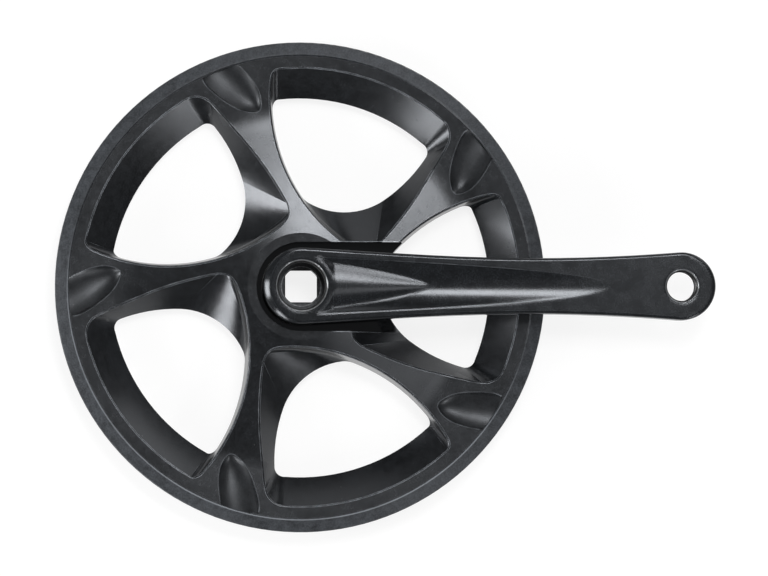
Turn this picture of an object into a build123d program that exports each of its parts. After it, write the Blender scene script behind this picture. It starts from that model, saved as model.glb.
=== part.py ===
from build123d import *

import os
from math import cos, radians, sin, tan

# Right-hand bicycle crank: a forged arm, a toothed ring pressed on its boss and a five-spoke chain guard.
# The spindle axis runs along Y, the arm along +X, and outboard is -Y.
# Pieces are drawn face on, with x along the arm, y up and z outboard from the middle of the toothed ring.

# Crank arm, with heights from the middle of the toothed ring
crank_length = 170.0
boss_r = 17.0
boss_face_r = 14.2
boss_tail = 4.0
eye_r = 15.2
waist_at = 100.0
waist_width = 24.9
boss_slope = 0.061
eye_slope = 0.08
arm_thickness = 13.0
arm_gap = 1.5
arm_round = 1.4
arm_back_round = 1.5
boss_bevel_end = 4.0
boss_bevel_drop = 2.2

# Flute along the arm's face, and the ramp that fills its boss end
flute_r = 20.0
flute_end = 138.0
flute_slope = 0.034
ramp_start = 15.4
ramp_end = 57.0
ramp_tail = 8.0
ramp_crown_r = 40.5
boss_lip = 2.6
boss_lip_drop = 1.2

# Spindle socket, extractor thread and pedal thread
socket_flats = 14.2
socket_corner_r = 8.5
socket_taper = 2.0
extractor_r = 11.0
extractor_depth = 12.0
extractor_mouth = 0.4
pedal_r = 7.1
pedal_mouth = 0.4

# Toothed ring
teeth = 48
chain_pitch = 12.7
roller_r = 4.0
tooth_height = 3.6
tooth_flare = 1.5
tooth_bevel = 0.8
tooth_bevel_depth = 3.0
ring_thickness = 3.0
ring_band = 6.6
ring_arm_width = 12.0
ring_arm_root = 22.0
ring_hub_r = 31.0
ring_corner = 3.0
seat_r = 15.0
stake_r = 16.4
stake_height = 1.6

# Chain guard
spokes = 5
guard_turn = 0.8
guard_r = 110.0
rim_band = 5.6
crest_height = 12.5
crest_step = 0.6
crest_round = 0.4
rim_edge_height = 10.6
rim_edge_round = 0.8
rim_skirt = 5.0
valley_r = 78.0
valley_height = 10.0
valley_round = 60.0
hub_face_r = 24.0
hub_height = 16.5
guard_wall = 2.4
pocket_gap = 3.0
pocket_depth = 10.5
boss_clearance = 0.5

# Guard windows
window_edge_round = 0.9
round_share = 0.4
window_corner_round = 3.0
window_apex_round = 4.0
window_wall_sink = 2.6
side_wall_curve = 1.2385
side_wall_start = (0.149, 13.0)
side_wall_end = (0.945, 24.6)
side_wall_draft = 6.0

# Leaf-shaped scoops at the outer ends of the spokes
scoop_inset = 22.1
scoop_angle = 29.7
scoop_turn = 47.3

# Guard screws
screw_at = (72.0, 35.5)
screw_r = 1.95
screw_clearance = 0.05
ring_hole_clearance = 0.25
screw_reach = 5.5
screw_boss_r = 4.4
head_r = 3.8
head_height = 2.4
drive_width = 1.1
drive_length = 4.4
drive_depth = 1.4

margin = 1.0
ring_front = ring_thickness / 2
ring_back = -ring_thickness / 2
guard_back = ring_front
arm_back = crest_height + arm_gap
arm_front = arm_back + arm_thickness
boss_back = -boss_tail
crest_r = guard_r - rim_band
pocket_floor = hub_height - pocket_depth
spoke_turn = 360 / spokes

# Window outlines: share of the way from the hub face to the crest, and angle from the window's middle
# The front outline lies on the hub face's level and the back one on the guard's back
window_front = {
    "outer": (1.0075, 35.0),
    "outer_mid": (1.0075, 5.0),
    "corner": (1.0075, -23.3),
    "corner_mid": (0.986, -26.6),
    "side_top": (0.928, -29.3),
    "side_mid": (0.539, -38.1),
    "side_low": (0.150, -48.8),
    "apex": (0.082, -46.6),
    "apex_end": (0.019, -28.0),
    "far": (0.373, 66.0),
}
window_back = {
    "outer": (0.764, 35.0),
    "outer_mid": (0.764, 5.0),
    "corner": (0.764, -23.3),
    "corner_mid": (0.756, -25.4),
    "side_top": (0.719, -26.8),
    "side_mid": (0.540, -27.8),
    "side_low": (0.377, -26.5),
    "apex": (0.199, -14.5),
    "apex_end": (0.300, 25.0),
    "far": (0.585, 57.0),
}

# Scoop sections by distance from the tip: depth, then the rim's and the floor's edges across the scoop
scoop_sections = {
    -0.6: {"depth": 0.1, "rim": (0.9, 2.9), "floor": (1.2, 2.6)},
    3.0: {"depth": 2.1, "rim": (-1.7, 8.0), "floor": (1.4, 3.3)},
    10.0: {"depth": 2.4, "rim": (-2.8, 12.9), "floor": (1.8, 5.8)},
    17.0: {"depth": 1.7, "rim": (-1.9, 16.0), "floor": (1.6, 10.8)},
    24.5: {"depth": 0.3, "rim": (0.0, 16.7), "floor": (0.4, 16.2)},
}


def polar(radius, angle):
    return (radius * cos(radians(angle)), radius * sin(radians(angle)))


def spread(share, angle):
    return polar(hub_face_r + share * (crest_r - hub_face_r), angle)


def around(shape):
    return [Rot(0, 0, guard_turn + spoke_turn * index) * shape for index in range(spokes)]


def turned(profile):
    return Rot(0, 0, guard_turn) * revolve(Plane.XZ * profile, Axis.Z)


def cylinder(radius, low, high):
    return Pos(0, 0, low) * Cylinder(radius, high - low, align=(Align.CENTER, Align.CENTER, Align.MIN))


def cone(low_r, high_r, low, high):
    return Pos(0, 0, low) * Cone(low_r, high_r, high - low, align=(Align.CENTER, Align.CENTER, Align.MIN))


def window_section(level):
    share = (level - guard_back) / (hub_height - guard_back)
    at = {}
    for name in window_front:
        front = Vector(*spread(*window_front[name]))
        back = Vector(*spread(*window_back[name]))
        at[name] = back + (front - back) * share
    outline = [
        ThreePointArc(at["outer"], at["outer_mid"], at["corner"]),
        ThreePointArc(at["corner"], at["corner_mid"], at["side_top"]),
        ThreePointArc(at["side_top"], at["side_mid"], at["side_low"]),
        ThreePointArc(at["side_low"], at["apex"], at["apex_end"]),
        Line(at["apex_end"], at["far"]),
        Line(at["far"], at["outer"]),
    ]
    return Pos(0, 0, level) * make_face(outline)


def side_wall():
    chord = Vector(*spread(*side_wall_end)) - Vector(*spread(*side_wall_start))
    wall_r = chord.length * side_wall_curve
    middle = Vector(*spread(*side_wall_start)) + chord * 0.5
    rise = (wall_r ** 2 - (chord.length / 2) ** 2) ** 0.5
    return middle + Vector(chord.Y, -chord.X).normalized() * rise, wall_r


def window_space(grow, sink):
    low = guard_back - margin
    funnel = loft([window_section(low + sink), window_section(hub_height + sink)], ruled=True)
    narrowing = (hub_height - low) * tan(radians(side_wall_draft))
    centre, wall_r = side_wall()
    side = cone(wall_r + grow - narrowing, wall_r + grow, low, hub_height)
    return (Pos(0, 0, -sink) * funnel) & (Pos(centre) * side)


def window():
    opening = window_space(0, 0)
    for end, rounding in ((-1, window_corner_round), (0, window_apex_round)):
        wall = opening.faces().filter_by(GeomType.CONE).sort_by(Axis.X)[0]
        creases = wall.edges().filter_by(lambda edge: edge.bounding_box().size.Z > hub_height / 2)
        opening = fillet(creases.sort_by(Axis.X)[end], rounding)
    return opening


def front_profile(lower):
    return [
        (hub_face_r, hub_height - lower),
        (valley_r, valley_height - lower),
        (crest_r - crest_step, crest_height - crest_step - lower),
    ]


def face_height(radius):
    rise = (crest_height - crest_step - valley_height) / (crest_r - crest_step - valley_r)
    return valley_height + rise * max(radius - valley_r, 0)


def scoop(lower):
    top = crest_height + margin
    place = Pos(*polar(crest_r - scoop_inset, scoop_angle)) * Rot(0, 0, scoop_turn)
    sections = []
    for along, section in scoop_sections.items():
        face = face_height((place * Pos(along, 0)).position.length)
        flare = (top - face) / section["depth"]
        right_rim, left_rim = section["rim"]
        right_floor, left_floor = section["floor"]
        floor = face - section["depth"]
        hollow = Spline((right_rim, face), (right_floor, floor), (left_floor, floor), (left_rim, face))
        sides = Polyline(
            (left_rim, face),
            (left_rim + (left_rim - left_floor) * flare, top),
            (right_rim - (right_floor - right_rim) * flare, top),
            (right_rim, face),
        )
        sections.append(Pos(along, 0, 0) * (Plane.YZ * make_face([hollow, sides])))
    cutter = Pos(0, 0, -lower) * (place * loft(sections))
    return cutter & cylinder(crest_r - crest_step, 0, top)


def pocket(grow):
    reach = boss_r + pocket_gap + grow
    height = hub_height - pocket_floor + grow + margin
    slot = Circle(reach) + Pos(ramp_end / 2, 0) * Rectangle(ramp_end, reach * 2)
    return Pos(0, 0, pocket_floor - grow) * extrude(slot, height)


def chain_guard():
    front = make_face(Polyline(
        (0, guard_back),
        (0, hub_height),
        *front_profile(0),
        (crest_r, crest_height),
        (guard_r, rim_edge_height),
        (guard_r, rim_skirt),
        (guard_r - guard_wall, rim_skirt),
        (guard_r - guard_wall, guard_back),
        close=True,
    ))
    for corner, rounding in (
        ((valley_r, valley_height), valley_round),
        ((crest_r, crest_height), crest_round),
        ((guard_r, rim_edge_height), rim_edge_round),
    ):
        front = fillet(front.vertices().sort_by_distance(corner)[0], rounding)
    blank = turned(front)
    windows = around(window())
    guard = blank - windows
    edges = new_edges(blank, *windows, combined=guard)
    rims = edges.filter_by(lambda edge: edge.center().Z > valley_height - margin)
    rounding = min(window_edge_round, round_share * min(edge.length for edge in rims))
    guard = fillet(rims, rounding)
    guard -= around(scoop(0))
    guard -= pocket(0)
    guard -= cylinder(boss_r + boss_clearance, guard_back - margin, hub_height)

    hollow = turned(make_face(Polyline(
        (boss_r + boss_clearance + guard_wall, guard_back - margin),
        (boss_r + boss_clearance + guard_wall, hub_height - guard_wall),
        *front_profile(guard_wall),
        (guard_r - guard_wall, rim_edge_height - guard_wall),
        (guard_r - guard_wall, guard_back - margin),
        close=True,
    )))
    hollow -= around(window_space(guard_wall, window_wall_sink))
    hollow -= around(scoop(guard_wall))
    hollow -= pocket(guard_wall)
    screw_boss = Pos(*polar(*screw_at)) * cylinder(screw_boss_r, guard_back - margin, hub_height)
    hollow -= around(screw_boss)
    guard -= hollow
    pilot = cylinder(screw_r + screw_clearance, guard_back - margin, ring_front + screw_reach + margin)
    guard -= around(Pos(*polar(*screw_at)) * pilot)
    return guard


def crank_arm():
    half_waist = waist_width / 2
    start = Vector(boss_slope, 1).normalized() * boss_r
    end = Vector(crank_length, 0) + Vector(-eye_slope, 1).normalized() * eye_r
    edge = Spline(start, (waist_at, half_waist), end, tangents=[(1, -boss_slope), (1, eye_slope)])
    other = mirror(edge, Plane.XZ)
    boss_arc = ThreePointArc(start, (-boss_r, 0), (start.X, -start.Y))
    eye_arc = ThreePointArc(end, (crank_length + eye_r, 0), (end.X, -end.Y))
    beam = Pos(0, 0, arm_back) * extrude(make_face([edge, eye_arc, other, boss_arc]), arm_thickness)
    beam = fillet(beam.faces().sort_by(Axis.Z)[0].edges(), arm_back_round)
    arm = beam + cylinder(boss_r, ring_front, arm_front)
    arm = fillet(arm.faces().sort_by(Axis.Z)[-1].outer_wire().edges(), arm_round)
    bevel_shift = (boss_r ** 2 - boss_face_r ** 2) / (2 * (boss_bevel_end + boss_face_r))
    bevel_r = boss_face_r + bevel_shift
    bevel_low = arm_front - boss_bevel_drop
    boss_crown = cone(bevel_r + boss_r - boss_face_r, bevel_r, bevel_low, arm_front)
    slab = Pos(boss_bevel_end - boss_r, 0, bevel_low) * Box(
        2 * boss_r, 2 * boss_r + margin, boss_bevel_drop, align=(Align.CENTER, Align.CENTER, Align.MIN))
    arm -= slab - Pos(bevel_shift, 0) * boss_crown
    arm += cylinder(seat_r, boss_back, ring_front)
    arm += cylinder(stake_r, ring_back - stake_height, ring_back)

    flute_length = flute_end + flute_r
    flute_axis = Plane((flute_end, 0, arm_front + flute_r), x_dir=(0, 1, 0), z_dir=(-1, 0, -flute_slope))
    flute = flute_axis * Cylinder(flute_r, flute_length, align=(Align.CENTER, Align.CENTER, Align.MIN))
    ramp_fall = flute_slope * (flute_end - ramp_end) / (ramp_end - ramp_start)
    ramp_top = arm_front + ramp_fall * ramp_start
    crown = Plane((0, 0, ramp_top - ramp_crown_r), z_dir=(1, 0, 0)) * Circle(ramp_crown_r)
    point_at = ramp_end + ramp_tail
    ramp = loft([crown, Vertex(point_at, 0, ramp_top - ramp_fall * point_at)])
    ramp += cone(boss_face_r + boss_lip, boss_face_r, arm_front - boss_lip_drop, arm_front)
    left = Pos(-ramp_end / 2, 0, arm_front) * Box(ramp_end, ramp_end, 4 * flute_r)
    arm -= flute - ramp - left

    narrow = arm_front - extractor_depth
    widen = (narrow - boss_back) * tan(radians(socket_taper))
    flats = loft([
        Pos(0, 0, boss_back) * Rectangle(socket_flats + 2 * widen, socket_flats + 2 * widen),
        Pos(0, 0, narrow) * Rectangle(socket_flats, socket_flats),
    ], ruled=True)
    arm -= flats & cone(socket_corner_r + widen, socket_corner_r, boss_back, narrow)
    arm -= cylinder(extractor_r, narrow, arm_front)
    arm -= cone(extractor_r, extractor_r + extractor_mouth, arm_front - extractor_mouth, arm_front)
    eye = cylinder(pedal_r, arm_back, arm_front)
    eye += cone(pedal_r, pedal_r + pedal_mouth, arm_front - pedal_mouth, arm_front)
    eye += cone(pedal_r + pedal_mouth, pedal_r, arm_back, arm_back + pedal_mouth)
    arm -= Pos(crank_length, 0) * eye
    return arm


def chainring():
    pitch_r = chain_pitch / 2 / sin(radians(180 / teeth))
    tip_r = pitch_r + tooth_height
    root_r = pitch_r - roller_r
    flare = roller_r + tooth_flare
    gap = Pos(pitch_r, 0) * Circle(roller_r)
    gap += make_face(Polyline(
        (pitch_r, -roller_r),
        (tip_r + margin, -flare),
        (tip_r + margin, flare),
        (pitch_r, roller_r),
        close=True,
    ))
    gaps = [Rot(0, 0, 360 / teeth * index) * gap for index in range(teeth)]
    inner_r = root_r - ring_band
    band = Circle(tip_r) - gaps - Circle(inner_r)
    arm = make_face(Polyline(
        (0, -ring_arm_root / 2),
        (inner_r + margin, -ring_arm_width / 2),
        (inner_r + margin, ring_arm_width / 2),
        (0, ring_arm_root / 2),
        close=True,
    ))
    spider = Circle(ring_hub_r) + around(Rot(0, 0, screw_at[1]) * arm)
    plan = band + spider
    inside = plan.vertices().filter_by(lambda v: ring_hub_r - margin < Vector(v).length < inner_r + margin)
    plan = fillet(inside, ring_corner)
    plan -= Circle(seat_r)
    plan -= around(Pos(*polar(*screw_at)) * Circle(screw_r + ring_hole_clearance))
    ring = Pos(0, 0, ring_back) * extrude(plan, ring_thickness)
    envelope = turned(make_face(Polyline(
        (0, ring_back),
        (tip_r - tooth_bevel_depth, ring_back),
        (tip_r + margin, ring_back + tooth_bevel),
        (tip_r + margin, ring_front - tooth_bevel),
        (tip_r - tooth_bevel_depth, ring_front),
        (0, ring_front),
        close=True,
    )))
    return ring & envelope


def guard_screws():
    shank = cylinder(screw_r, ring_back, ring_front + screw_reach)
    head = cylinder(head_r, ring_back - head_height, ring_back)
    head = fillet(head.edges().sort_by(Axis.Z)[0], head_height / 2)
    drive_at = Pos(0, 0, ring_back - head_height + drive_depth / 2)
    drive = drive_at * Box(drive_length, drive_width, drive_depth)
    drive += drive_at * Box(drive_width, drive_length, drive_depth)
    screw = shank + head - drive
    return Compound(around(Pos(*polar(*screw_at)) * screw))


os.makedirs("parts", exist_ok=True)
for name, piece in (
    ("crank_arm", crank_arm()),
    ("chain_guard", chain_guard()),
    ("chainring", chainring()),
    ("guard_screws", guard_screws()),
):
    export_step(Plane.XZ * piece, f"parts/{name}.step")
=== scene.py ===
import math

import bmesh
import bpy
from mathutils import Matrix, Vector


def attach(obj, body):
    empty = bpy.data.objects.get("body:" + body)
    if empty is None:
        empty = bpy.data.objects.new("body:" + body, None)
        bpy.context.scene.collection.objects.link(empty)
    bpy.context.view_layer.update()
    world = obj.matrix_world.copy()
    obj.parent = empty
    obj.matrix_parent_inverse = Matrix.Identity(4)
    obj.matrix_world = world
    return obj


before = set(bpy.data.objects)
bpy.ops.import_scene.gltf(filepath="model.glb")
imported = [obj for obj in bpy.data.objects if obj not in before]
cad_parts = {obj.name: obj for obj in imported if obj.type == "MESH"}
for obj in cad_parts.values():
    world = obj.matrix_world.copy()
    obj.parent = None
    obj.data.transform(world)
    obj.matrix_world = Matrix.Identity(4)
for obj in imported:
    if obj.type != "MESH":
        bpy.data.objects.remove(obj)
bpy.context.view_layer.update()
print("frame loaded:", ", ".join(sorted(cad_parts)))

scene = bpy.context.scene
scene.view_settings.view_transform = "Standard"
white = (1.0, 1.0, 1.0, 1.0)


# the camera looks almost square on to the chain guard through a long lens
cameraSetup = {
    "target": (0.03745, -0.010, -0.00044),
    "azimuth": -3.248,      # degrees round +Z, 0 looks along +Y
    "elevation": -2.245,
    "roll": -0.019,
    "distance": 1.926,
    "lens": 201.0,          # mm, as is the sensor's width
    "sensor": 36.0,
    "clip": (0.05, 50.0),
}


def lookBack(towards):
    # turn of a camera or lamp that stands off in a direction and looks back along it
    return towards.to_track_quat("Z", "Y").to_matrix().to_4x4()


def addCamera(setup):
    data = bpy.data.cameras.new("photoCamera")
    data.sensor_fit = "HORIZONTAL"
    data.sensor_width = setup["sensor"]
    data.lens = setup["lens"]
    data.clip_start, data.clip_end = setup["clip"]
    data.dof.use_dof = False
    camera = bpy.data.objects.new("photoCamera", data)
    scene.collection.objects.link(camera)
    a = math.radians(setup["azimuth"])
    e = math.radians(setup["elevation"])
    towards = Vector((math.sin(a) * math.cos(e), -math.cos(a) * math.cos(e), math.sin(e)))
    place = Matrix.Translation(Vector(setup["target"]) + towards * setup["distance"])
    roll = Matrix.Rotation(math.radians(setup["roll"]), 4, "Z")
    camera.matrix_world = place @ lookBack(towards) @ roll
    scene.camera = camera


addCamera(cameraSetup)
print("camera placed")


# small helpers for building node trees
def give(tree, socket, value):
    # a socket takes a link or a plain value
    if isinstance(value, bpy.types.NodeSocket):
        tree.links.new(value, socket)
    else:
        socket.default_value = value


def addNode(tree, kind, inputs=None, **settings):
    node = tree.nodes.new(kind)
    for key, value in settings.items():
        setattr(node, key, value)
    for key, value in (inputs or {}).items():
        give(tree, node.inputs[key], value)
    return node


def mathNode(tree, operation, a, b=0.0, c=0.0):
    return addNode(tree, "ShaderNodeMath", operation=operation, inputs={0: a, 1: b, 2: c}).outputs[0]


def product(tree, value, *factors):
    for factor in factors:
        value = mathNode(tree, "MULTIPLY", value, factor)
    return value


def scaleAdd(tree, value, factor, start):
    return mathNode(tree, "MULTIPLY_ADD", value, factor, start)


def between(tree, factor, low, high):
    # low where the factor is 0, high where it is 1
    return addNode(tree, "ShaderNodeMapRange", inputs={0: factor, 3: low, 4: high}).outputs[0]


def fade(tree, value, start, end, low=0.0, high=1.0):
    # eases from low at start to high at end
    node = addNode(
        tree, "ShaderNodeMapRange", interpolation_type="SMOOTHSTEP",
        inputs={0: value, 1: start, 2: end, 3: low, 4: high},
    )
    return node.outputs[0]


def bandNode(tree, value, low, high, soft):
    # 1 between low and high, fading over soft at both ends
    return product(tree, fade(tree, value, low - soft, low), fade(tree, value, high, high + soft, 1.0, 0.0))


def noiseNode(tree, place, scale, detail, roughness):
    node = addNode(tree, "ShaderNodeTexNoise", inputs={
        "Vector": place, "Scale": scale, "Detail": detail, "Roughness": roughness})
    return node.outputs["Fac"]


def cellNode(tree, place, scale):
    return addNode(tree, "ShaderNodeTexVoronoi", feature="F1", inputs={
        "Vector": place, "Scale": scale, "Randomness": 1.0}).outputs


def mixColour(tree, factor, a, b, blend="MIX"):
    node = addNode(tree, "ShaderNodeMix", data_type="RGBA", blend_type=blend, inputs={0: factor, 6: a, 7: b})
    return node.outputs[2]


def overlay(tree, mask, strength, under, over):
    return mixColour(tree, product(tree, mask, strength), under, over)


def startGroup(name, values, masks):
    # a group that reads a place and some values, and puts out masks
    group = bpy.data.node_groups.new(name, "ShaderNodeTree")
    group.interface.new_socket("Place", in_out="INPUT", socket_type="NodeSocketVector")
    for label in values:
        group.interface.new_socket(label, in_out="INPUT", socket_type="NodeSocketFloat")
    for label in masks:
        group.interface.new_socket(label, in_out="OUTPUT", socket_type="NodeSocketFloat")
    given = group.nodes.new("NodeGroupInput").outputs
    out = group.nodes.new("NodeGroupOutput").inputs
    return group, given, out


def useGroup(tree, group, **values):
    return addNode(tree, "ShaderNodeGroup", node_tree=group, inputs=values).outputs


# effects that several finishes share
grainSetup = {
    "fine": (2.0, 0.6),         # noise detail and roughness
    "cloud": (4.0, 0.55),
    "cellShare": 0.5,           # of the height, from the cells
    "contrast": (0.3, 0.7),
}


def makeSatinGrain(setup):
    # fine moulded or sprayed grain, with slow clouding of the gloss
    group, given, out = startGroup("satinGrain", ("Size", "Cloud"), ("Height", "Speckle", "Clouding"))
    grainScale = mathNode(group, "DIVIDE", 1.0, given["Size"])
    cloudScale = mathNode(group, "DIVIDE", 1.0, given["Cloud"])
    fine = noiseNode(group, given["Place"], grainScale, *setup["fine"])
    cells = cellNode(group, given["Place"], grainScale)
    cloud = noiseNode(group, given["Place"], cloudScale, *setup["cloud"])
    group.links.new(scaleAdd(group, cells["Distance"], setup["cellShare"], fine), out["Height"])
    group.links.new(fade(group, fine, *setup["contrast"]), out["Speckle"])
    group.links.new(fade(group, cloud, *setup["contrast"]), out["Clouding"])
    return group


edgeMaskSetup = {
    "samples": 8,
    "turn": (0.9990, 0.9890),   # cosines of the turns where the edge mask starts and is full
    "patch": (3.0, 0.6),        # noise detail and roughness
    "contrast": (0.30, 0.60),
    "least": 0.4,               # left between the patches
}


def makeEdgeMask(setup):
    # 1 along edges, where the surface turns within the width, broken up by noise
    group, given, out = startGroup("edgeMask", ("Width", "Patch"), ("Mask",))
    soft = addNode(group, "ShaderNodeBevel", samples=setup["samples"], inputs={"Radius": given["Width"]})
    geometry = group.nodes.new("ShaderNodeNewGeometry")
    bend = addNode(group, "ShaderNodeVectorMath", operation="DOT_PRODUCT", inputs={
        0: soft.outputs["Normal"], 1: geometry.outputs["Normal"]})
    turned = fade(group, bend.outputs["Value"], *setup["turn"])
    patchScale = mathNode(group, "DIVIDE", 1.0, given["Patch"])
    patch = noiseNode(group, given["Place"], patchScale, *setup["patch"])
    broken = fade(group, patch, *setup["contrast"])
    kept = between(group, broken, setup["least"], 1.0)
    group.links.new(product(group, turned, kept), out["Mask"])
    return group


dustSetup = {"left": 0.6}       # share of the places with no speck


def makeDust(setup):
    # sparse pale specks
    group, given, out = startGroup("dustSpecks", ("Spacing", "Size"), ("Mask",))
    scale = mathNode(group, "DIVIDE", 1.0, given["Spacing"])
    dots = cellNode(group, given["Place"], scale)
    chosen = addNode(group, "ShaderNodeSeparateColor", inputs={0: dots["Color"]}).outputs
    reach = product(group, given["Size"], chosen[1])
    near = mathNode(group, "LESS_THAN", dots["Distance"], reach)
    few = mathNode(group, "GREATER_THAN", chosen[0], setup["left"])
    group.links.new(product(group, near, few), out["Mask"])
    return group


satinGrain = makeSatinGrain(grainSetup)
edgeMask = makeEdgeMask(edgeMaskSetup)
dustSpecks = makeDust(dustSetup)
print("shared effects built")


# what the finishes below have in common
def startMaterial(name):
    material = bpy.data.materials.new(name)
    material.use_nodes = True
    tree = material.node_tree
    tree.nodes.clear()
    output = tree.nodes.new("ShaderNodeOutputMaterial")
    shader = tree.nodes.new("ShaderNodeBsdfPrincipled")
    tree.links.new(shader.outputs[0], output.inputs[0])
    place = tree.nodes.new("ShaderNodeTexCoord").outputs["Object"]
    return material, tree, shader.inputs, place


def splitPlace(tree, place):
    return addNode(tree, "ShaderNodeSeparateXYZ", inputs={0: place}).outputs


def radiusFrom(tree, place, x):
    # distance from an axis along Y that stands at x
    flat = addNode(tree, "ShaderNodeVectorMath", operation="MULTIPLY_ADD", inputs={
        0: place, 1: (1.0, 0.0, 1.0), 2: (-x, 0.0, 0.0)})
    length = addNode(tree, "ShaderNodeVectorMath", operation="LENGTH", inputs={0: flat.outputs[0]})
    return length.outputs["Value"]


def grainOf(tree, place, look):
    return useGroup(tree, satinGrain, Place=place, Size=look["grain"], Cloud=look["cloud"])


def edgeMaskOf(tree, place, look):
    return useGroup(tree, edgeMask, Place=place, Width=look["edgeWidth"], Patch=look["edgePatch"])["Mask"]


def dustOver(tree, place, look, colour):
    dust = useGroup(tree, dustSpecks, Place=place, Spacing=look["dustSpacing"], Size=look["dustSize"])
    return overlay(tree, dust["Mask"], look["dustStrength"], colour, look["dustColour"])


def shaded(tree, colour, shade):
    return mixColour(tree, 1.0, colour, shade, blend="MULTIPLY")


def addBump(tree, sockets, height, setup, normal=None):
    strength, distance = setup
    bump = addNode(tree, "ShaderNodeBump", inputs={
        "Strength": strength, "Distance": distance, "Height": height})
    if normal is not None:
        tree.links.new(normal, bump.inputs["Normal"])
    tree.links.new(bump.outputs[0], sockets["Normal"])


# chain guard: black moulded plastic, paler and grainier on the rim band, with painted highlights on its
# window edges and crest and painted shade in the arm's pocket
guardLook = {
    "colour": (0.0055, 0.0060, 0.0068, 1.0),
    "bandColour": (0.021, 0.023, 0.026, 1.0),
    # on the guard this colour paints highlights on the window edges and the crest
    "edgeColour": (0.36, 0.385, 0.42, 1.0),
    "dustColour": (0.25, 0.25, 0.25, 1.0),
    # painted shade for the pocket under the arm
    "pocketShade": (0.002, 0.002, 0.0022, 1.0),
    "specular": 0.5,
    "specularTint": (0.91, 0.945, 1.0, 1.0),
    "roughness": 0.19,
    "bandRoughness": 0.40,
    "pocketRoughness": 0.08,
    "scoopRoughness": 0.16,         # this and the next three are added to the roughness
    "cloudRoughness": 0.04,
    "mottleRoughness": 0.02,
    "speckRoughness": (0.02, 0.068),    # on the face, then on the band
    "cloudShade": (0.3, 0.6),
    "mottleShade": 0.8,
    "speckShade": 1.2,
    "grain": 0.0007,
    "cloud": 0.03,
    "mottle": 0.004,
    "edgeWidth": 0.0008,
    "edgePatch": 0.006,
    "edgeStrength": 0.9,
    "edgeFront": (-0.0055, -0.0075),     # Y where the painted edge highlights fade in
    "dustSpacing": 0.005,
    "dustSize": 0.05,
    "dustStrength": 0.25,
    "bump": (0.2, 0.0001),              # strength, then distance
    "faceBump": 0.05,                   # share of the band's grain left on the face
    "hubEdge": (0.024, 0.027),          # radius where the painted edge highlights fade in
    "bandRadius": 0.1044,               # the rim's crest, which the next three are counted from
    "bandFade": (-0.0012, 0.0006),
    "crestLine": (-0.0002, 0.0001),
    "crestClear": (-0.0014, -0.0020),
    "crestSoft": 0.0003,
    "crestBreakup": (0.4, 0.55),
    "lowSide": (0.01, -0.06),           # Z where the painted highlight on the crest fades in, so it shows on the lower side only
    "lowLean": 0.3,                     # how that Z changes along X
    "spokes": 5,
    "scoopTurn": 36.0,                  # degrees from the arm to the first scoop
    "scoopSpread": (7.95, 7.05),        # degrees to each side of a scoop
    "scoopStart": (0.079, 0.081),
    "scoopDepth": (0.0001, 0.0008),
    "scoopEdge": 0.2,
    "faceFall": (-0.0736, -0.00426),    # Y of the front face: slope along the radius, then start
    "pocketHalf": 0.0202,
    "pocketSpan": (-0.0203, 0.0585),
    "pocketFront": -0.0158,
}


def scoopZone(tree, look, along, radius):
    # 1 over the scoops and the edges round them
    turn = mathNode(tree, "ARCTAN2", along["Z"], along["X"])
    turn = mathNode(tree, "SUBTRACT", turn, math.radians(look["scoopTurn"]))
    apart = mathNode(tree, "PINGPONG", turn, math.pi / look["spokes"])
    outside, inside = look["scoopSpread"]
    within = fade(tree, apart, math.radians(outside), math.radians(inside))
    return product(tree, within, fade(tree, radius, *look["scoopStart"]))


def pocketZone(tree, look, along):
    # 1 in the pocket that the arm lies in
    left, right = look["pocketSpan"]
    return product(
        tree,
        mathNode(tree, "LESS_THAN", mathNode(tree, "ABSOLUTE", along["Z"]), look["pocketHalf"]),
        mathNode(tree, "GREATER_THAN", along["X"], left),
        mathNode(tree, "LESS_THAN", along["X"], right),
        mathNode(tree, "GREATER_THAN", along["Y"], look["pocketFront"]),
    )


def fromCrest(look, key):
    # a pair of radii counted from the rim's crest
    return [look["bandRadius"] + step for step in look[key]]


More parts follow.
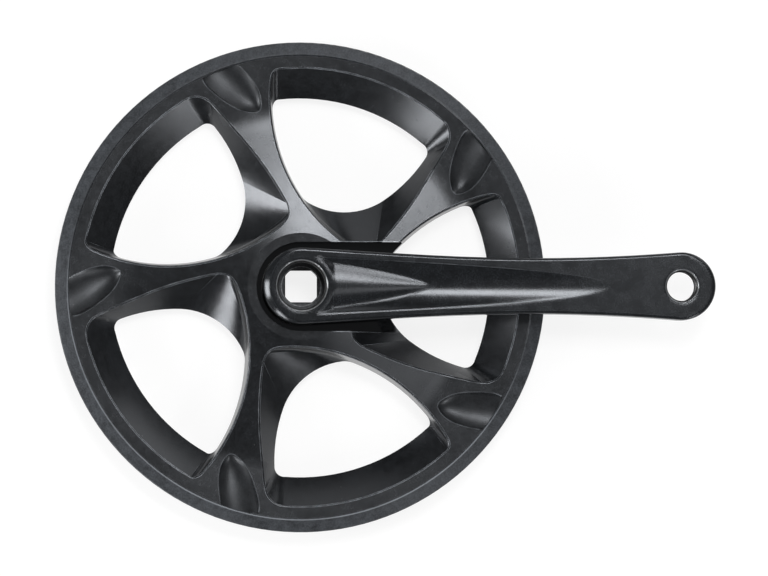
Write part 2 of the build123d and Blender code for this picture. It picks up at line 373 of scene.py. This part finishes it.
def guardPlastic(look):
    material, tree, sockets, place = startMaterial("guardPlastic")
    along = splitPlace(tree, place)
    radius = radiusFrom(tree, place, 0.0)
    grain = grainOf(tree, place, look)
    mottle = useGroup(tree, satinGrain, Place=place, Size=look["grain"], Cloud=look["mottle"])["Clouding"]
    band = fade(tree, radius, *fromCrest(look, "bandFade"))
    scoops = scoopZone(tree, look, along, radius)
    pocket = pocketZone(tree, look, along)
    faceY = scaleAdd(tree, radius, *look["faceFall"])
    below = mathNode(tree, "SUBTRACT", along["Y"], faceY)
    sunk = product(tree, fade(tree, below, *look["scoopDepth"]), scoops)

    # painted highlight: a bright line along the rim's crest, only on the lower side, broken up in patches
    low = scaleAdd(tree, along["X"], look["lowLean"], along["Z"])
    crest = product(
        tree,
        bandNode(tree, radius, *fromCrest(look, "crestLine"), look["crestSoft"]),
        fade(tree, low, *look["lowSide"]),
        between(tree, grain["Clouding"], *look["crestBreakup"]),
    )
    # painted highlight along the window edges, broken up in patches like rubbing
    edge = product(
        tree,
        edgeMaskOf(tree, place, look),
        fade(tree, along["Y"], *look["edgeFront"]),
        fade(tree, radius, *look["hubEdge"]),
        fade(tree, radius, *fromCrest(look, "crestClear")),
        between(tree, scoops, 1.0, look["scoopEdge"]),
    )
    paintedLight = mathNode(tree, "MAXIMUM", edge, crest)

    shade = between(tree, grain["Clouding"], *look["cloudShade"])
    shade = scaleAdd(tree, mottle, look["mottleShade"], shade)
    shade = scaleAdd(tree, grain["Speckle"], look["speckShade"], shade)
    colour = mixColour(tree, band, look["colour"], look["bandColour"])
    colour = shaded(tree, colour, shade)
    # the painted highlights lighten the edges and the crest
    colour = overlay(tree, paintedLight, look["edgeStrength"], colour, look["edgeColour"])
    colour = dustOver(tree, place, look, colour)
    # painted shade: the pocket under the arm is darkened
    colour = mixColour(tree, pocket, colour, look["pocketShade"])
    tree.links.new(colour, sockets["Base Color"])

    rough = between(tree, band, look["roughness"], look["bandRoughness"])
    rough = scaleAdd(tree, sunk, look["scoopRoughness"], rough)
    rough = scaleAdd(tree, mottle, look["mottleRoughness"], rough)
    rough = scaleAdd(tree, grain["Clouding"], look["cloudRoughness"], rough)
    rough = scaleAdd(tree, grain["Speckle"], between(tree, band, *look["speckRoughness"]), rough)
    rough = between(tree, pocket, rough, look["pocketRoughness"])
    tree.links.new(rough, sockets["Roughness"])
    sockets["Specular IOR Level"].default_value = look["specular"]
    sockets["Specular Tint"].default_value = look["specularTint"]
    height = product(tree, grain["Height"], between(tree, band, look["faceBump"], 1.0))
    addBump(tree, sockets, height, look["bump"])
    return material


# crank arm: black coated forging; its bores darkened as painted shade, and bare rings at their mouths and
# shoulder lightened as painted highlights
armLook = {
    "colour": (0.0055, 0.0062, 0.0072, 1.0),
    "edgeColour": (0.13, 0.138, 0.15, 1.0),
    "dustColour": (0.25, 0.25, 0.25, 1.0),
    # painted shade inside the bore and the eye
    "boreShade": (0.002, 0.002, 0.0022, 1.0),
    # bare metal for the rings, also lightened to stand in for their highlights
    "bareAndGlintColour": (0.32, 0.33, 0.34, 1.0),
    "ringMetal": 0.7,
    "specular": 0.45,
    "specularTint": (0.91, 0.945, 1.0, 1.0),
    "roughness": 0.165,
    "boreRoughness": 0.25,          # this and the next two are added to the roughness
    "cloudRoughness": 0.03,
    "speckRoughness": 0.015,
    "cloudShade": (0.2, 0.8),
    "speckShade": 1.6,
    "grain": 0.0006,
    "cloud": 0.006,
    "edgeWidth": 0.0006,
    "edgePatch": 0.004,
    "rubReach": (0.030, 0.060),     # from the spindle axis, where the rub strength changes
    "edgeStrength": (0.1, 0.6),
    "dustSpacing": 0.006,
    "dustSize": 0.05,
    "dustStrength": 0.22,
    "pedalX": 0.170,
    "boreMouth": (0.01115, 0.01150),    # radii of the bare rings, lightened as painted highlights
    "shoulderRing": (0.00870, 0.00905),
    "eyeMouth": (0.00720, 0.00745),
    "ringSoft": 0.0001,
    "shoulderStrength": 0.5,
    "boreFade": 0.0002,
    "streakScale": (900.0, 60.0, 900.0),    # marks left along the bores by the cutter
    "streakNoise": (3.0, 0.6),
    "streakContrast": (0.35, 0.65),
    "streakInRings": (0.4, 1.0),
    "streakInBores": 0.05,
    "bump": (0.03, 0.00006),
    "softening": 0.0022,            # how far the edges inside the outline blend into each other
    "softSamples": 8,
    "softInside": (-0.0035, -0.0015),   # from the outline, where that fades out
    "halfWidth": (0.499, -0.0954, 0.0170),      # of the arm, as a curve along X
}


def softNormal(tree, place, look):
    # blends edges on the arm's face, and leaves its outline crisp
    along = splitPlace(tree, place)
    bend, fall, start = look["halfWidth"]
    halfWidth = scaleAdd(tree, along["X"], bend, fall)
    halfWidth = scaleAdd(tree, along["X"], halfWidth, start)
    past = mathNode(tree, "SUBTRACT", mathNode(tree, "ABSOLUTE", along["Z"]), halfWidth)
    reach = fade(tree, past, *look["softInside"], look["softening"], 0.0)
    soft = addNode(tree, "ShaderNodeBevel", samples=look["softSamples"], inputs={"Radius": reach})
    return soft.outputs["Normal"]


def armCoat(look):
    material, tree, sockets, place = startMaterial("armCoat")
    grain = grainOf(tree, place, look)
    axisRadius = radiusFrom(tree, place, 0.0)
    eyeRadius = radiusFrom(tree, place, look["pedalX"])
    boreEdge = look["boreMouth"][0]
    eyeEdge = look["eyeMouth"][0]
    bore = fade(tree, axisRadius, boreEdge, boreEdge - look["boreFade"])
    eye = fade(tree, eyeRadius, eyeEdge, eyeEdge - look["boreFade"])
    dark = mathNode(tree, "MAXIMUM", bore, eye)

    stretched = addNode(tree, "ShaderNodeMapping", inputs={"Vector": place, "Scale": look["streakScale"]})
    streak = noiseNode(tree, stretched.outputs[0], 1.0, *look["streakNoise"])
    streak = fade(tree, streak, *look["streakContrast"])
    mouth = bandNode(tree, axisRadius, *look["boreMouth"], look["ringSoft"])
    shoulder = bandNode(tree, axisRadius, *look["shoulderRing"], look["ringSoft"])
    eyeMouth = bandNode(tree, eyeRadius, *look["eyeMouth"], look["ringSoft"])
    rings = scaleAdd(tree, shoulder, look["shoulderStrength"], mouth)
    rings = mathNode(tree, "MAXIMUM", rings, eyeMouth)
    rings = product(tree, rings, between(tree, streak, *look["streakInRings"]))

    shade = between(tree, grain["Clouding"], *look["cloudShade"])
    shade = scaleAdd(tree, grain["Speckle"], look["speckShade"], shade)
    colour = shaded(tree, look["colour"], shade)
    edgeStrength = fade(tree, axisRadius, *look["rubReach"], *look["edgeStrength"])
    colour = overlay(tree, edgeMaskOf(tree, place, look), edgeStrength, colour, look["edgeColour"])
    colour = dustOver(tree, place, look, colour)
    # painted shade: the bore and the eye are darkened, with streaks from the cutter
    paintedLight = overlay(tree, streak, look["streakInBores"], look["boreShade"], look["bareAndGlintColour"])
    colour = mixColour(tree, dark, colour, paintedLight)
    # bare rings at the mouths and the shoulder, lightened as painted highlights
    colour = mixColour(tree, rings, colour, look["bareAndGlintColour"])
    tree.links.new(colour, sockets["Base Color"])
    tree.links.new(product(tree, rings, look["ringMetal"]), sockets["Metallic"])

    rough = scaleAdd(tree, grain["Clouding"], look["cloudRoughness"], look["roughness"])
    rough = scaleAdd(tree, grain["Speckle"], look["speckRoughness"], rough)
    rough = scaleAdd(tree, dark, look["boreRoughness"], rough)
    tree.links.new(rough, sockets["Roughness"])
    sockets["Specular IOR Level"].default_value = look["specular"]
    sockets["Specular Tint"].default_value = look["specularTint"]
    addBump(tree, sockets, grain["Height"], look["bump"], softNormal(tree, place, look))
    return material


# chainring: black coated pressed steel, rubbed on its teeth
ringLook = {
    "colour": (0.010, 0.0105, 0.0115, 1.0),
    "edgeColour": (0.22, 0.22, 0.225, 1.0),
    "dustColour": (0.3, 0.3, 0.29, 1.0),
    "roughness": 0.34,
    "cloudRoughness": 0.1,
    "cloudShade": (0.85, 1.15),
    "speckShade": 0.1,
    "grain": 0.0003,
    "cloud": 0.015,
    "edgeWidth": 0.0005,
    "edgePatch": 0.002,
    "edgeStrength": 0.6,
    "rubMetal": 0.8,
    "dustSpacing": 0.006,
    "dustSize": 0.05,
    "dustStrength": 0.2,
    "bump": (0.15, 0.00005),
}


def ringSteel(look):
    material, tree, sockets, place = startMaterial("ringSteel")
    grain = grainOf(tree, place, look)
    rub = edgeMaskOf(tree, place, look)
    shade = between(tree, grain["Clouding"], *look["cloudShade"])
    shade = scaleAdd(tree, grain["Speckle"], look["speckShade"], shade)
    colour = shaded(tree, look["colour"], shade)
    colour = overlay(tree, rub, look["edgeStrength"], colour, look["edgeColour"])
    colour = dustOver(tree, place, look, colour)
    tree.links.new(colour, sockets["Base Color"])
    tree.links.new(product(tree, rub, look["rubMetal"]), sockets["Metallic"])
    rough = scaleAdd(tree, grain["Clouding"], look["cloudRoughness"], look["roughness"])
    tree.links.new(rough, sockets["Roughness"])
    addBump(tree, sockets, grain["Height"], look["bump"])
    return material


# guard screws: dull zinc with stains
screwLook = {
    "colour": (0.30, 0.30, 0.31, 1.0),
    "stain": (0.13, 0.125, 0.115, 1.0),
    "edgeColour": (0.5, 0.5, 0.5, 1.0),
    "metallic": 1.0,
    "roughness": 0.32,
    "cloudRoughness": 0.15,
    "grain": 0.0002,
    "cloud": 0.003,
    "edgeWidth": 0.0003,
    "edgePatch": 0.001,
    "edgeStrength": 0.6,
    "bump": (0.1, 0.00004),
}


def screwZinc(look):
    material, tree, sockets, place = startMaterial("screwZinc")
    grain = grainOf(tree, place, look)
    colour = mixColour(tree, grain["Clouding"], look["stain"], look["colour"])
    colour = overlay(tree, edgeMaskOf(tree, place, look), look["edgeStrength"], colour, look["edgeColour"])
    tree.links.new(colour, sockets["Base Color"])
    rough = scaleAdd(tree, grain["Clouding"], look["cloudRoughness"], look["roughness"])
    tree.links.new(rough, sockets["Roughness"])
    sockets["Metallic"].default_value = look["metallic"]
    addBump(tree, sockets, grain["Height"], look["bump"])
    return material


# cut threads of the bore and the pedal eye, black, with a bare metal patch in the eye that is a painted
# highlight
threadLook = {
    "colour": (0.012, 0.012, 0.013, 1.0),
    "groove": (0.004, 0.004, 0.0045, 1.0),
    "bare": (0.55, 0.55, 0.56, 1.0),
    # where a painted highlight sits in the eye, as a patch of bare metal
    "glintAt": (0.1765, -0.0215, 0.0002),
    "glintFade": (0.0042, 0.00126),      # distances where the patch starts and is full
    "glintCloud": (0.5, 1.0),
    "specular": 0.1,
    "roughness": 0.45,
    "cloudRoughness": 0.2,
    "grain": 0.0003,
    "cloud": 0.004,
    "edgeWidth": 0.0003,
    "edgePatch": 0.002,
    "edgeStrength": 0.1,
    "bump": (0.15, 0.00004),
}


def threadMetal(look):
    material, tree, sockets, place = startMaterial("threadMetal")
    grain = grainOf(tree, place, look)
    # painted highlight: a bare metal patch in the eye where a bright glint falls
    apart = addNode(tree, "ShaderNodeVectorMath", operation="DISTANCE", inputs={0: place, 1: look["glintAt"]})
    bare = fade(tree, apart.outputs["Value"], *look["glintFade"])
    bare = product(tree, bare, between(tree, grain["Clouding"], *look["glintCloud"]))
    colour = mixColour(tree, grain["Clouding"], look["groove"], look["colour"])
    colour = overlay(tree, edgeMaskOf(tree, place, look), look["edgeStrength"], colour, look["bare"])
    colour = mixColour(tree, bare, colour, look["bare"])
    tree.links.new(colour, sockets["Base Color"])
    tree.links.new(bare, sockets["Metallic"])
    rough = scaleAdd(tree, grain["Clouding"], look["cloudRoughness"], look["roughness"])
    tree.links.new(rough, sockets["Roughness"])
    sockets["Specular IOR Level"].default_value = look["specular"]
    addBump(tree, sockets, grain["Height"], look["bump"])
    return material


boreThread = {
    "name": "extractorThread", "x": 0.0, "majorRadius": 0.01103, "minorRadius": 0.01046,
    "pitch": 0.001, "front": -0.02645, "back": -0.0157, "steps": 72,
}
eyeThread = {
    "name": "pedalThread", "x": 0.170, "majorRadius": 0.00713, "minorRadius": 0.00656,
    "pitch": 0.00127, "front": -0.02605, "back": -0.01495, "steps": 56,
}
ridgeShape = {
    "top": (0.40, 0.52),        # shares of the pitch, as is the foot
    "foot": 0.92,
    "sharp": 30.0,              # degrees past which an edge is not smoothed
    "merge": 1e-7,
}


def cutThread(part, shape, material):
    # one ridge of the thread, spun up the hole with its base hidden in the wall
    pitch = part["pitch"]
    turns = (part["back"] - part["front"]) / pitch - 1.0
    steps = int(part["steps"] * turns)
    topStart, topEnd = shape["top"]
    ridge = (
        (part["majorRadius"], 0.0),
        (part["minorRadius"], pitch * topStart),
        (part["minorRadius"], pitch * topEnd),
        (part["majorRadius"], pitch * shape["foot"]),
    )
    mesh = bmesh.new()
    section = mesh.faces.new([mesh.verts.new((part["x"] + r, part["front"] + y, 0.0)) for r, y in ridge])
    bmesh.ops.spin(
        mesh, geom=[section, *section.edges, *section.verts],
        cent=(part["x"], 0.0, 0.0), axis=(0.0, 1.0, 0.0), dvec=(0.0, turns * pitch / steps, 0.0),
        angle=math.tau * turns, steps=steps,
        use_merge=False, use_normal_flip=False, use_duplicate=False,
    )
    bmesh.ops.remove_doubles(mesh, verts=mesh.verts, dist=shape["merge"])
    bmesh.ops.recalc_face_normals(mesh, faces=mesh.faces)
    data = bpy.data.meshes.new(part["name"])
    mesh.to_mesh(data)
    mesh.free()
    for face in data.polygons:
        face.use_smooth = True
    data.set_sharp_from_angle(angle=math.radians(shape["sharp"]))
    data.materials.append(material)
    piece = bpy.data.objects.new(part["name"], data)
    scene.collection.objects.link(piece)
    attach(piece, "root")


threadFinish = threadMetal(threadLook)
cutThread(boreThread, ridgeShape, threadFinish)
cutThread(eyeThread, ridgeShape, threadFinish)
print("threads cut")


nodeFinish = {
    "chain_guard": guardPlastic(guardLook),
    "crank_arm": armCoat(armLook),
    "chainring": ringSteel(ringLook),
    "guard_screws": screwZinc(screwLook),
}
for nodeName, finish in nodeFinish.items():
    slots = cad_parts[nodeName].data.materials
    slots.clear()
    slots.append(finish)
print("finishes assigned")


# white sheet behind the crank, seen from its front side only
sheetSetup = {
    "y": 0.0050,
    "halfWidth": 3.0,
    "colour": (0.20, 0.20, 0.20, 1.0),
    "lift": 0.835,      # glow that brings the unshaded sheet up to white
}


def addSheet(setup):
    mesh = bmesh.new()
    bmesh.ops.create_grid(mesh, x_segments=1, y_segments=1, size=setup["halfWidth"])
    bmesh.ops.rotate(mesh, verts=mesh.verts, matrix=Matrix.Rotation(math.pi / 2, 3, "X"))
    bmesh.ops.translate(mesh, verts=mesh.verts, vec=(0.0, setup["y"], 0.0))
    data = bpy.data.meshes.new("whiteSheet")
    mesh.to_mesh(data)
    mesh.free()
    sheet = bpy.data.objects.new("whiteSheet", data)
    scene.collection.objects.link(sheet)
    material = bpy.data.materials.new("whiteSheet")
    material.use_nodes = True
    tree = material.node_tree
    tree.nodes.clear()
    output = tree.nodes.new("ShaderNodeOutputMaterial")
    path = tree.nodes.new("ShaderNodeLightPath").outputs
    seen = mathNode(tree, "MAXIMUM", path["Is Camera Ray"], path["Is Glossy Ray"])
    seen = mathNode(tree, "MAXIMUM", seen, path["Is Transmission Ray"])
    lift = product(tree, seen, setup["lift"])
    paper = addNode(tree, "ShaderNodeBsdfDiffuse", inputs={"Color": setup["colour"]})
    glow = addNode(tree, "ShaderNodeEmission", inputs={"Color": white, "Strength": lift})
    front = addNode(tree, "ShaderNodeAddShader", inputs={0: paper.outputs[0], 1: glow.outputs[0]})
    clear = tree.nodes.new("ShaderNodeBsdfTransparent")
    behind = tree.nodes.new("ShaderNodeNewGeometry").outputs["Backfacing"]
    hide = mathNode(tree, "MAXIMUM", behind, path["Is Shadow Ray"])
    both = addNode(tree, "ShaderNodeMixShader", inputs={0: hide, 1: front.outputs[0], 2: clear.outputs[0]})
    tree.links.new(both.outputs[0], output.inputs[0])
    data.materials.append(material)


addSheet(sheetSetup)
print("sheet hung")


# studio lights: degrees tilted off the outboard side (-Y), and around it from +X towards +Z
lightSetup = {
    "top": {"tilt": 20.5, "around": 78.0, "distance": 1.3, "size": (0.34, 0.30), "radiance": 18.0},
    "topRight": {"tilt": 20.0, "around": 38.0, "distance": 1.3, "size": (0.20, 0.16), "radiance": 15.0},
    "overRamp": {"tilt": 36.0, "around": 66.0, "distance": 1.3, "size": (0.20, 0.20), "radiance": 12.0},
    "left": {"tilt": 73.0, "around": 183.0, "distance": 1.3, "size": (0.35, 0.50), "radiance": 17.0},
    "lowerLeft": {"tilt": 73.0, "around": 228.0, "distance": 1.3, "size": (0.36, 0.36), "radiance": 15.0},
    "lowerRight": {"tilt": 62.0, "around": 305.0, "distance": 1.3, "size": (0.26, 0.42), "radiance": 12.0},
    "rightFill": {"tilt": 16.0, "around": 335.0, "distance": 1.3, "size": (0.22, 0.22), "radiance": 3.0},
    "farRight": {"tilt": 74.0, "around": 48.0, "distance": 1.3, "size": (0.60, 0.60), "radiance": 2.0},
    "farTop": {"tilt": 76.0, "around": 98.0, "distance": 1.3, "size": (0.80, 0.50), "radiance": 1.0},
    "behindHigh": {"tilt": 140.0, "around": 60.0, "distance": 1.4, "size": (0.6, 0.6), "radiance": 7.0},
    "behindLow": {"tilt": 140.0, "around": 240.0, "distance": 1.4, "size": (0.6, 0.6), "radiance": 6.0},
}
lightAim = Vector((0.02, -0.012, 0.0))


def addLight(name, setup):
    data = bpy.data.lights.new(name, "AREA")
    data.shape = "RECTANGLE"
    data.size, data.size_y = setup["size"]
    data.energy = setup["radiance"] * math.pi * data.size * data.size_y
    lamp = bpy.data.objects.new(name, data)
    scene.collection.objects.link(lamp)
    t = math.radians(setup["tilt"])
    a = math.radians(setup["around"])
    towards = Vector((math.sin(t) * math.cos(a), -math.cos(t), math.sin(t) * math.sin(a)))
    lamp.matrix_world = Matrix.Translation(lightAim + towards * setup["distance"]) @ lookBack(towards)


for lightName, setup in lightSetup.items():
    addLight(lightName, setup)


# grey surroundings that look white to the camera
worldSetup = {"grey": 0.18}


def addWorld(setup):
    world = bpy.data.worlds.new("studio")
    world.use_nodes = True
    tree = world.node_tree
    tree.nodes.clear()
    output = tree.nodes.new("ShaderNodeOutputWorld")
    path = tree.nodes.new("ShaderNodeLightPath").outputs
    seen = mathNode(tree, "MAXIMUM", path["Is Camera Ray"], path["Is Transmission Ray"])
    strength = between(tree, seen, setup["grey"], 1.0)
    sky = addNode(tree, "ShaderNodeBackground", inputs={"Color": white, "Strength": strength})
    tree.links.new(sky.outputs[0], output.inputs[0])
    scene.world = world


addWorld(worldSetup)
print("studio lit")
